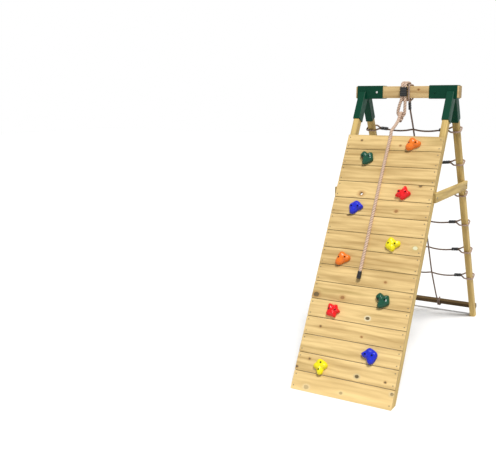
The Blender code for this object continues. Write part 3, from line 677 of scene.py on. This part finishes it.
def laid_rope(name, points, radius, sides=18):
    """A laid rope along closely spaced points: strands that twist round it, with grooves between them."""
    lay = LAY * radius
    bm = bmesh.new()
    uv = bm.loops.layers.uv.new("rope")
    tangents = [(b - a).normalized() for a, b in zip([points[0], *points], [*points[1:], points[-1]])]
    tangents[0] = (points[1] - points[0]).normalized()
    normal = tangents[0].orthogonal().normalized()
    rings, walked, run = [], [], 0.0
    for i, (point, tangent) in enumerate(zip(points, tangents)):
        if i:
            run += (point - points[i - 1]).length
        normal = (normal - tangent * normal.dot(tangent)).normalized()
        other = tangent.cross(normal)
        ring = []
        for j in range(sides):
            share = (STRANDS * j / sides) % 1.0
            crest = math.sqrt(max(0.0, 1 - (2 * share - 1) ** 2))
            reach = radius * (GROOVE + STRAND_RISE * crest)
            turn = 2 * math.pi * (j / sides + run / lay)
            ring.append(bm.verts.new(point + (normal * math.cos(turn) + other * math.sin(turn)) * reach))
        rings.append(ring)
        walked.append(run)
    for i, (low, high) in enumerate(zip(rings, rings[1:])):
        for j in range(sides):
            k = (j + 1) % sides
            face = bm.faces.new((low[j], low[k], high[k], high[j]))
            ends = ((i, j), (i, j + 1), (i + 1, j + 1), (i + 1, j))
            for loop, (along, around) in zip(face.loops, ends):
                loop[uv].uv = (walked[along] * 100, STRANDS * around / sides)
    bm.faces.new(rings[0])
    bm.faces.new(rings[-1])
    return mesh_from(bm, name, 60)


def stadium(half_spread, radius, steps):
    """Two half-round ends joined by sides that are drawn in at the middle."""
    waist = radius * (1 - FERRULE_PINCH)
    right = arc((half_spread, 0), radius, -90, 90, steps)
    left = arc((-half_spread, 0), radius, 90, 270, steps)
    return right + [(0, waist)] + left + [(0, -waist)]


def ferrule_mesh(name, half_spread, bore, wall, length, ribs=FERRULE_RIBS):
    """A pressed two-strand ferrule along Z: flared ends and raised ribs outside, a smooth bore inside."""
    half = length / 2
    profile = [(-half, bore + 0.0002), (-half, bore + 0.55 * wall), (-half + 0.0012, bore + wall)]
    span = length - 0.010
    for i in range(ribs):
        middle = -half + 0.005 + span * (i + 0.5) / ribs
        width = span / ribs
        low, high = bore + 0.30 * wall, bore + wall
        profile += [(middle - 0.34 * width, low), (middle - 0.20 * width, high)]
        profile += [(middle + 0.20 * width, high), (middle + 0.34 * width, low)]
    profile += [(half - 0.0012, bore + wall), (half, bore + 0.55 * wall), (half, bore + 0.0002)]
    bm = bmesh.new()
    rows = []
    for z, radius in profile:
        rows.append([bm.verts.new((x, y, z)) for x, y in stadium(half_spread, radius, 10)])
    for low, high in zip(rows, [*rows[1:], rows[0]]):
        for i in range(len(low)):
            j = (i + 1) % len(low)
            bm.faces.new((low[i], low[j], high[j], high[i]))
    return mesh_from(bm, name, 50)


# --- ropes ---
def rope_route():
    """The climbing rope: its own eye through the sling's eye, over the wall's top edge, down the boards."""
    edge = on_slope(FRONT, -0.0245, WALL_TOP_DOWN - 0.014, WALL_FACE + 0.0235)
    link = Vector((LINK_X, LINK_Y, LINK_Z))
    pull = Vector((0, edge.y - link.y, edge.z - link.z)).normalized()
    side = Vector((0, -pull.z, pull.y))
    turn = 2 * ROPE_RADIUS + 0.0009
    loop = [link + pull * 0.034 + side * 0.0245]
    for i in range(9):
        angle = math.radians(108 - 27 * i)
        loop.append(link + (side * math.sin(angle) - pull * math.cos(angle)) * turn)
    loop += [link + pull * 0.036 - side * 0.0165, link + pull * 0.060 - side * 0.0050]
    loop += [link + pull * 0.090, link + pull * 0.150 + Vector((-0.003, 0, -0.004))]
    lie = WALL_FACE + ROPE_RADIUS + ROPE_STANDOFF
    run = [(-0.0256, 0.022, lie + 0.0016), (-0.0275, 0.075, lie)]
    run += [(-0.0300, 0.210, lie), (-0.0322, 0.370, lie), (-0.0330, 0.530, lie)]
    run += [(-0.0345, 0.700, lie), (-0.0352, 0.840, lie), (-0.0362, 0.960, lie + 0.0008)]
    run += [(-0.0365, 1.040, lie + 0.0030), (-0.0360, ROPE_END, lie + 0.0050)]
    run = [on_slope(FRONT, x, WALL_TOP_DOWN + down, out) for x, down, out in run]
    exit_point = link + pull * 0.024 + side * 0.008
    return loop + [edge] + run, exit_point


def cap_mesh():
    """The moulded end cap with its three grooves, from where the rope enters it."""
    profile = [(0.0, 0.0), (0.0140, 0.0), (0.0152, 0.0008), (CAP_RADIUS, 0.003)]
    for groove in range(3):
        start = 0.006 + 0.011 * groove
        profile += [(CAP_RADIUS, start), (0.0150, start + 0.0015)]
        profile += [(0.0150, start + 0.0045), (CAP_RADIUS, start + 0.006)]
    profile += [(CAP_RADIUS, 0.046), (0.0153, 0.0515), (0.0125, 0.0552), (0.0075, 0.0572), (0.0, CAP_LENGTH)]
    return turned("rope_end_sleeve", [(r, -z) for r, z in profile], 28)


def climbing_rope():
    route, exit_point = rope_route()
    points = smooth_route(route, ROPE_STEP)
    mesh = laid_rope("climbing_rope_laid", points, ROPE_RADIUS)
    rope = piece("climbing_rope_laid", mesh, rope_look, "rope", instead=["climbing_rope"])
    along = (points[-1] - points[-2]).normalized()
    place = frame_from(points[-1] + along * GAP, -along, (1, 0, 0))
    cap = piece("rope_end_sleeve", cap_mesh(), black, "rope", place, ["rope_end_cap"])


def sling_route():
    """Up from the ferrule, over the beam, under it in a bight, and back beside itself to the ferrule."""
    clear = ROPE_RADIUS + GAP + 0.0002
    back = BEAM_DEPTH / 2 + clear
    low = BEAM_LOW_Z - clear
    high = BEAM_TOP_Z + clear + SLING_RISE
    route = [(-0.020, low), (0.004, low)]
    route += arc((back - 0.016, low + 0.016), 0.016, -90, 0, 4)
    route += arc((back - 0.030, high - 0.030), 0.030, 0, 90, 4)
    route += arc((SLING_Y + 0.030, high - 0.030), 0.030, 90, 180, 4)
    route += [(SLING_Y, 2.070), (SLING_Y, 2.045), (SLING_Y, SLING_ENDS_Z)]
    bight = arc((-0.024, SLING_X), SLING_LANE, 270, 90, 8)[1:-1]
    whole = [(SLING_X - SLING_LANE, y, z) for y, z in reversed(route)]
    whole += [(x, y, low) for y, x in bight]
    return whole + [(SLING_X + SLING_LANE, y, z) for y, z in route]


def sling_eye_route():
    """The pear-shaped eye below the ferrule, wider than the rope that runs through it."""
    near, far = SLING_X - SLING_LANE, SLING_X + SLING_LANE
    top = SLING_ENDS_Z - 0.0050
    out = SLING_FERRULE_LOW - 0.0045
    bend = arc((LINK_X, 0.0), 1.0, 180, 360, 8)
    bottom = [(LINK_X + (a - LINK_X) * EYE_HALF_WIDTH, LINK_Z + 0.032 + b * 0.032) for a, b in bend]
    left = [(near, top), (near, out), (SLING_X - 0.0160, out - 0.025), (-0.0385, 1.952)]
    right = [(0.0055, 1.952), (SLING_X + 0.0150, out - 0.025), (far, out), (far, top)]
    return [(x, SLING_Y, z) for x, z in left + bottom + right]


def sling():
    """The doubled sling round the beam, its ferrule, and the eye that swings below it."""
    mesh = laid_rope("sling_laid", smooth_route(sling_route(), ROPE_STEP), ROPE_RADIUS)
    piece("sling_laid", mesh, rope_look, instead=["sling_rope"])
    length = SLING_FERRULE_HIGH - SLING_FERRULE_LOW
    mesh = ferrule_mesh("sling_clamp", SLING_LANE, ROPE_RADIUS + BORE_CLEARANCE, SLING_FERRULE_WALL, length)
    place = Matrix.Translation((SLING_X, SLING_Y, (SLING_FERRULE_LOW + SLING_FERRULE_HIGH) / 2))
    piece("sling_clamp", mesh, black, matrix=place, instead=["sling_ferrule"])
    mesh = laid_rope("sling_eye_laid", smooth_route(sling_eye_route(), ROPE_STEP), ROPE_RADIUS - 0.0001)
    piece("sling_eye_laid", mesh, rope_look, "eye", instead=["sling_eye"])


def leg_loop():
    """From the tail in the right ferrule round the right leg and back in: (x, out) points."""
    near, far = FERRULE_X - FERRULE_LENGTH / 2 + 0.001, FERRULE_X + FERRULE_LENGTH / 2
    clear = LEG_DEPTH / 2 + NET_RADIUS + 0.0010
    turn = 0.020
    corner_x = WALL_HALF_WIDTH + 0.0127 - turn
    spread = [(far + 0.016, 0.0130), (far + 0.032, 0.0290), (far + 0.047, 0.0400)]
    tail = [(near, NET_LANE), (FERRULE_X, NET_LANE), (far, NET_LANE), *spread]
    round_leg = [(corner_x - 0.018, clear)]
    round_leg += arc((corner_x, clear - turn), turn, 90, 0, 4)
    round_leg += arc((corner_x, turn - clear), turn, 0, -90, 4)
    round_leg += [(corner_x - 0.018, -clear)]
    return tail + round_leg + [(x, -out) for x, out in reversed(tail)]


def rung_route(z):
    """From the right ferrule round the right leg, across with a slight sag, and the same at the left."""
    down = (APEX_Z - z) / COS
    top = FERRULE_X + FERRULE_LENGTH / 2
    half = [(x, out, RUNG_END_SLOPE * (min(top, FERRULE_X) - min(top, x))) for x, out in leg_loop()]
    reach = FERRULE_X - FERRULE_LENGTH / 2
    for share in (0.75, 0.5, 0.25):
        sag = RUNG_SAG * math.sin(math.pi * share) + RUNG_END_SLOPE * FERRULE_LENGTH / 2 * share
        half.append((reach * share, -NET_LANE - sag * SIN, sag * COS))
    whole = half + [(0.0, -NET_LANE, 0.0)]
    whole += [(-x, out, drop) for x, out, drop in reversed(half)]
    return [on_slope(BACK, x, down + drop, out) for x, out, drop in whole]


def centre_ferrule_axis():
    (top_y, top_z), (low_y, low_z) = CENTRE_FERRULE
    top, low = Vector((CENTRE_TOP_X, top_y, top_z)), Vector((CENTRE_TOP_X, low_y, low_z))
    along = (low - top).normalized()
    return top, low, along, Vector((0, -along.z, along.y))


def bar_turns(last):
    """Down from the last rung and one and a half turns round the crossbar."""
    clear = NET_RADIUS + NET_CLEARANCE
    top, low = BAR_DOWN - BAR_HEIGHT / 2, BAR_DOWN + BAR_HEIGHT / 2
    front = BAR_OUT - BAR_DEPTH / 2 - clear
    back = BAR_OUT + BAR_DEPTH / 2 + clear
    a, b = CENTRE_FOOT_X, CENTRE_FOOT_X + 2 * FOOT_LANE
    turns = (
        (0.004, last + 0.12, 0.009), (0.011, top - 0.075, 0.017), (a, top - 0.030, front - 0.002),
        (a, top, front), (a, BAR_DOWN, front), (a, low, front - 0.0002),
        (a, low + 0.010, front + 0.005), (a, low + 0.013, front + 0.014), (a, low + 0.013, back - 0.014),
        (a, low + 0.010, back - 0.004), (a, low, back + 0.0004), (a + 0.003, BAR_DOWN, back),
        (a + 0.008, top, back + 0.0003), (b - 0.002, top - 0.0085, back - 0.008),
        (b, top - 0.0085, front + 0.009), (b, top, front - 0.0004), (b, BAR_DOWN, front),
        (b, low, front - 0.0002), (b, low + 0.010, front + 0.005), (b, low + 0.013, front + 0.014),
        (b, low + 0.013, back - 0.010),
    )
    return [on_slope(BACK, x, down, out) for x, down, out in turns]


def centre_route():
    """Over the beam, down the net on the outer side of its rungs, and round the crossbar."""
    top, low, along, across = centre_ferrule_axis()
    middle = (top + low) / 2
    lane = across * NET_LANE
    route = [low - along * 0.001 - lane, middle - lane, top - lane, top - along * 0.005 - lane]
    clear = NET_RADIUS + NET_CLEARANCE
    turn = 0.012
    y = BEAM_DEPTH / 2 + clear - turn
    low_z, high_z = BEAM_LOW_Z - clear + turn, BEAM_TOP_Z + clear - turn
    ring = arc((-y, low_z), turn, -115, -180, 3) + arc((-y, high_z), turn, 180, 90, 3)
    ring += arc((y, high_z), turn, 90, 0, 3) + arc((y, low_z), turn, 0, -75, 3)
    route += [Vector((CENTRE_TOP_X, a, b)) for a, b in ring]
    route += [top - along * 0.005 + lane, top + lane, middle + lane, low + lane, low + along * 0.008 + lane]
    first = (APEX_Z - RUNG_TOP_Z) / COS
    last = (APEX_Z - RUNG_TOP_Z + (RUNG_COUNT - 1) * RUNG_PITCH_Z) / COS
    for i in range(RUNG_COUNT):
        route.append(on_slope(BACK, 0.0, first + (last - first) * i / (RUNG_COUNT - 1), NET_LANE))
    return route + bar_turns(last)


def net_ropes():
    for i in range(RUNG_COUNT):
        name = f"net_rung_{i + 1}_laid"
        points = smooth_route(rung_route(RUNG_TOP_Z - i * RUNG_PITCH_Z), NET_STEP)
        mesh = laid_rope(name, points, NET_RADIUS, NET_SIDES)
        piece(name, mesh, net_look, instead=[f"net_rung_{i + 1}"])
    mesh = laid_rope("net_centre_laid", smooth_route(centre_route(), NET_STEP), NET_RADIUS, NET_SIDES)
    piece("net_centre_laid", mesh, net_look, instead=["net_centre_rope"])


def net_ferrules():
    bore = NET_RADIUS + BORE_CLEARANCE
    for i in range(RUNG_COUNT):
        down = (APEX_Z - RUNG_TOP_Z + i * RUNG_PITCH_Z) / COS
        for hand, sign in HANDS:
            along = (1, -sign * RUNG_END_SLOPE * SIN, sign * RUNG_END_SLOPE * COS)
            place = frame_from(on_slope(BACK, sign * FERRULE_X, down, 0), along, (0, COS, SIN))
            name = f"ferrule_{i + 1}_{hand}"
            mesh = ferrule_mesh(name, NET_LANE, bore, FERRULE_WALL, FERRULE_LENGTH)
            piece(name, mesh, black, matrix=place, instead=[f"net_ferrule_{i + 1}_{hand}"])
    top, low, along, across = centre_ferrule_axis()
    mesh = ferrule_mesh("ferrule_top", NET_LANE, bore, FERRULE_WALL, FERRULE_LENGTH)
    place = frame_from((top + low) / 2, along, across)
    piece("ferrule_top", mesh, black, matrix=place, instead=["net_ferrule_top"])
    down = BAR_DOWN + BAR_HEIGHT / 2 + FOOT_FERRULE_DROP
    place = frame_from(on_slope(BACK, CENTRE_FOOT_X + FOOT_LANE, down, BAR_OUT), (0, COS, SIN), (1, 0, 0))
    mesh = ferrule_mesh("ferrule_foot", FOOT_LANE, bore, FERRULE_WALL, FOOT_FERRULE_LENGTH, 2)
    piece("ferrule_foot", mesh, black, matrix=place)


# --- timber ---
def board(i, top, low):
    """A board of the wall. The last is cut level at the ground, and one has a spare hole."""
    last = i == BOARD_COUNT - 1
    length = low - top + (FOOT_SPARE if last else 0.0)
    middle = top + length / 2
    matrix = slope(FRONT) @ Matrix.Translation((0, FRONT * (BOARD_BACK + BOARD_THICKNESS / 2), -middle))
    knots = [
        (x, middle - WALL_TOP_DOWN - down, radius, kind)
        for x, down, radius, kind in BOARD_KNOTS
        if top < WALL_TOP_DOWN + down < low
    ]
    name = f"wall_board_{i + 1:02d}"
    # The last argument sets the painted shade on the board faces in the gaps.
    look = wood(name, BOARD_LIGHT, BOARD_DARK, 0, 2, knots, BOARD_TONES[i], BOARD_GAP_SHADE)
    size = (2 * WALL_HALF_WIDTH, BOARD_THICKNESS, length)
    cut = level_cut(matrix, WALL_FOOT_Z) if last else None
    mesh = timber_mesh(name, size, PLANED_EDGE, cut, 3)
    made = piece(name, mesh, look, "frame", matrix, [f"board_{i + 1:02d}"])
    x, down, radius = SPARE_HOLE
    if top < WALL_TOP_DOWN + down < low:
        drill = turned("drill", [(0, -0.03), (radius, -0.03), (radius, 0.03), (0, 0.03)], 32)
        cut_out(made, drill, [wall_frame(x, down)])


def board_screws(i, top, low, screw):
    places = []
    for x in (-SCREW_X, SCREW_X):
        for down in (top + SCREW_INSET, low - SCREW_INSET):
            places.append(wall_frame(x, down - WALL_TOP_DOWN))
    name = f"board_{i + 1:02d}_screws"
    piece(name, joined(name, screw, places), steel)


def boards():
    screw = turned("board_screw", BOARD_SCREW, 16)
    for i in range(BOARD_COUNT):
        top = WALL_TOP_DOWN + i * BOARD_PITCH + (TOP_BOARD_TRIM if i == 0 else 0.0)
        low = WALL_TOP_DOWN + (i + 1) * BOARD_PITCH - BOARD_GAP
        board(i, top, low)
        board_screws(i, top, low, screw)


def legs():
    look = wood("leg_timber", TIMBER_LIGHT, TIMBER_DARK, 2, 0, (), TIMBER_TONE)
    low = (APEX_Z + LEG_DEPTH / 2 * SIN) / COS + LEG_SPARE
    for side, where in ((FRONT, "front"), (BACK, "back")):
        for hand, sign in HANDS:
            name = f"{where}_leg_{hand}"
            matrix = slope(side) @ Matrix.Translation((sign * LEG_CENTRE_X, 0, -(LEG_TOP + low) / 2))
            size = (LEG_X, LEG_DEPTH, low - LEG_TOP)
            mesh = timber_mesh(f"{name}_timber", size, LEG_ROUND, level_cut(matrix, 0.0))
            piece(f"{name}_timber", mesh, look, "frame", matrix, [name])


def beam():
    look = wood("beam_timber", BEAM_LIGHT, BEAM_DARK, 0, 2, BEAM_KNOTS, TIMBER_TONE)
    mesh = timber_mesh("beam_timber", (2 * BEAM_HALF_LENGTH, BEAM_DEPTH, BEAM_HEIGHT), BEAM_ROUND)
    place = Matrix.Translation((0, 0, BEAM_TOP_Z - BEAM_HEIGHT / 2))
    piece("beam_timber", mesh, look, "frame", place, ["beam"])


def braces():
    look = wood("brace_timber", TIMBER_LIGHT, TIMBER_DARK, 1, 2)
    bolt = turned("brace_bolt", BRACE_BOLT)
    x = WALL_HALF_WIDTH + GAP + BRACE_THICKNESS / 2
    size = (BRACE_THICKNESS, 2 * BRACE_HALF_LENGTH, BRACE_HEIGHT)
    leg_y = (APEX_Z - BRACE_Z) * math.tan(LEAN)
    for hand, sign in HANDS:
        name = f"side_brace_{hand}"
        mesh = timber_mesh(f"{name}_timber", size, PLANED_EDGE, None, 3)
        place = Matrix.Translation((sign * x, 0, BRACE_Z))
        piece(f"{name}_timber", mesh, look, "frame", place, [name])
        outside = sign * (x + BRACE_THICKNESS / 2 + 0.0002)
        facing = Matrix.Rotation(sign * math.pi / 2, 4, "Y")
        places = [Matrix.Translation((outside, y, BRACE_Z)) @ facing for y in (-leg_y, leg_y)]
        piece(f"{name}_bolts", joined(f"{name}_bolts", bolt, places), steel)


def crossbar():
    # Painted shade: darker colours than the legs, for the shade the crossbar lies in.
    look = wood("crossbar_timber", SHADED_BAR_LIGHT, SHADED_BAR_DARK, 0, 2)
    size = (2 * WALL_HALF_WIDTH, BAR_DEPTH, BAR_HEIGHT)
    mesh = timber_mesh("crossbar_timber", size, PLANED_EDGE, None, 3)
    place = slope(BACK) @ Matrix.Translation((0, BAR_OUT, -BAR_DOWN))
    piece("crossbar_timber", mesh, look, "frame", place, ["crossbar"])


# --- brackets ---
def brackets():
    coat = powder_coat("bracket_coat", GREEN)
    bolt = turned("bracket_bolt", BRACKET_BOLT)
    out = BEAM_DEPTH / 2 + SLEEVE_REACH
    z = BEAM_TOP_Z - BEAM_HEIGHT / 2
    for hand, sign in HANDS:
        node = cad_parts[f"bracket_{hand}"]
        node.data.materials.clear()
        node.data.materials.append(coat)
        places = []
        for side in (FRONT, BACK):
            facing = Matrix.Rotation(-side * math.pi / 2, 4, "X")
            places.append(Matrix.Translation((sign * BRACKET_BOLT_X, side * out, z)) @ facing)
        name = f"bracket_{hand}_bolts"
        look = pale_steel if hand == "left" else coat
        piece(name, joined(name, bolt, places), look)


# --- holds ---
def outline_radius(knots, degrees):
    """The outline's radius in metres at an angle: rounded points at the lobes, wide curves in the bays."""
    knots = sorted((angle % 360, radius) for angle, radius in knots)
    knots = [(knots[-1][0] - 360, knots[-1][1]), *knots, (knots[0][0] + 360, knots[0][1])]
    degrees %= 360
    for (a, p), (b, q) in zip(knots, knots[1:]):
        if a <= degrees < b:
            share = (degrees - a) / (b - a)
            from_lobe = share if p > q else 1 - share
            fall = (1 - math.cos(math.pi * from_lobe)) / 4 + math.sin(math.pi * from_lobe / 2) / 2
            return (max(p, q) - abs(p - q) * fall) / 1000
    return knots[0][1] / 1000


def hold_mesh(name, form, seed):
    """A lobed boulder: it swells from the wall, with a ridge out along each lobe and a dished crown."""
    bm = bmesh.new()
    rings = []
    for height, scale in HOLD_LEVELS:
        ring = []
        for i in range(HOLD_STEPS):
            degrees = 360 * i / HOLD_STEPS
            reach = HOLD_MEAN + (outline_radius(HOLD_FORMS[form], degrees) - HOLD_MEAN) * HOLD_BAYS
            lobes = min(HOLD_FURTHEST, reach)
            lobe_share = min(1.0, max(0.0, (lobes - HOLD_DEEPEST) / (HOLD_FURTHEST - HOLD_DEEPEST)))
            radius = lobes * scale
            turn = math.radians(degrees)
            valley = HOLD_VALLEY * (1 - lobe_share) * min(1.0, scale * 1.1)
            rise = height * HOLD_HEIGHT * (1 - valley)
            point = Vector((radius * math.cos(turn), radius * math.sin(turn), rise))
            lump = noise.noise(point * HOLD_LUMP_SCALE + Vector((seed * 3.7, 0, 0)))
            if height > 0:
                push = Vector((math.cos(turn) * (1 - height), math.sin(turn) * (1 - height), -height))
                point += push * HOLD_LUMPS * abs(lump)
            ring.append(bm.verts.new(point))
        rings.append(ring)
    for lower, upper in zip(rings, rings[1:]):
        for i in range(HOLD_STEPS):
            j = (i + 1) % HOLD_STEPS
            bm.faces.new((lower[i], lower[j], upper[j], upper[i]))
    bm.faces.new(rings[0])
    bm.faces.new(rings[-1])
    return mesh_from(bm, name, 70)


def holds():
    recess = turned("recess", HOLD_RECESS, 28)
    screw = turned("screw", HOLD_SCREW)
    looks = {colour: moulded(f"hold_{colour}", value) for colour, value in HOLD_COLOURS.items()}
    for number, (x, down, colour, form, turn) in enumerate(HOLDS, 1):
        name = f"grip_{number:02d}_{colour}"
        node = f"hold_{number:02d}_{colour}"
        seat = wall_frame(x, down, turn)
        mesh = hold_mesh(name, form, number)
        hold = piece(name, mesh, looks[colour], "frame", seat, [node])
        spots = [(step * HOLD_SCREW_SPACING, HOLD_SCREW_UP, HOLD_SCREW_SEAT) for step in (-0.5, 0.5)]
        places = [seat @ Matrix.Translation(spot) for spot in spots]
        cut_out(hold, recess, places, 60)
        piece(f"{name}_screws", joined(f"{name}_screws", screw, places), dark_steel)


make_camera()
make_room()
make_sun()
make_floor()

rope_look = laid("climbing_rope_look", srgb(238, 210, 186), srgb(178, 142, 118))
# The net is darker inside the frame and below the beam: painted shade.
net_look = laid("net_rope_look", srgb(206, 178, 160), srgb(140, 114, 98), 0.285, 1.98)
black = glossy_black("black_plastic_look")
steel = zinc("screw_steel", (0.26, 0.23, 0.18))
dark_steel = zinc("hold_screw_steel", (0.06, 0.06, 0.065))
pale_steel = zinc("bolt_steel", (0.80, 0.80, 0.78))

climbing_rope()
sling()
net_ropes()
net_ferrules()
boards()
legs()
beam()
braces()
crossbar()
brackets()
holds()
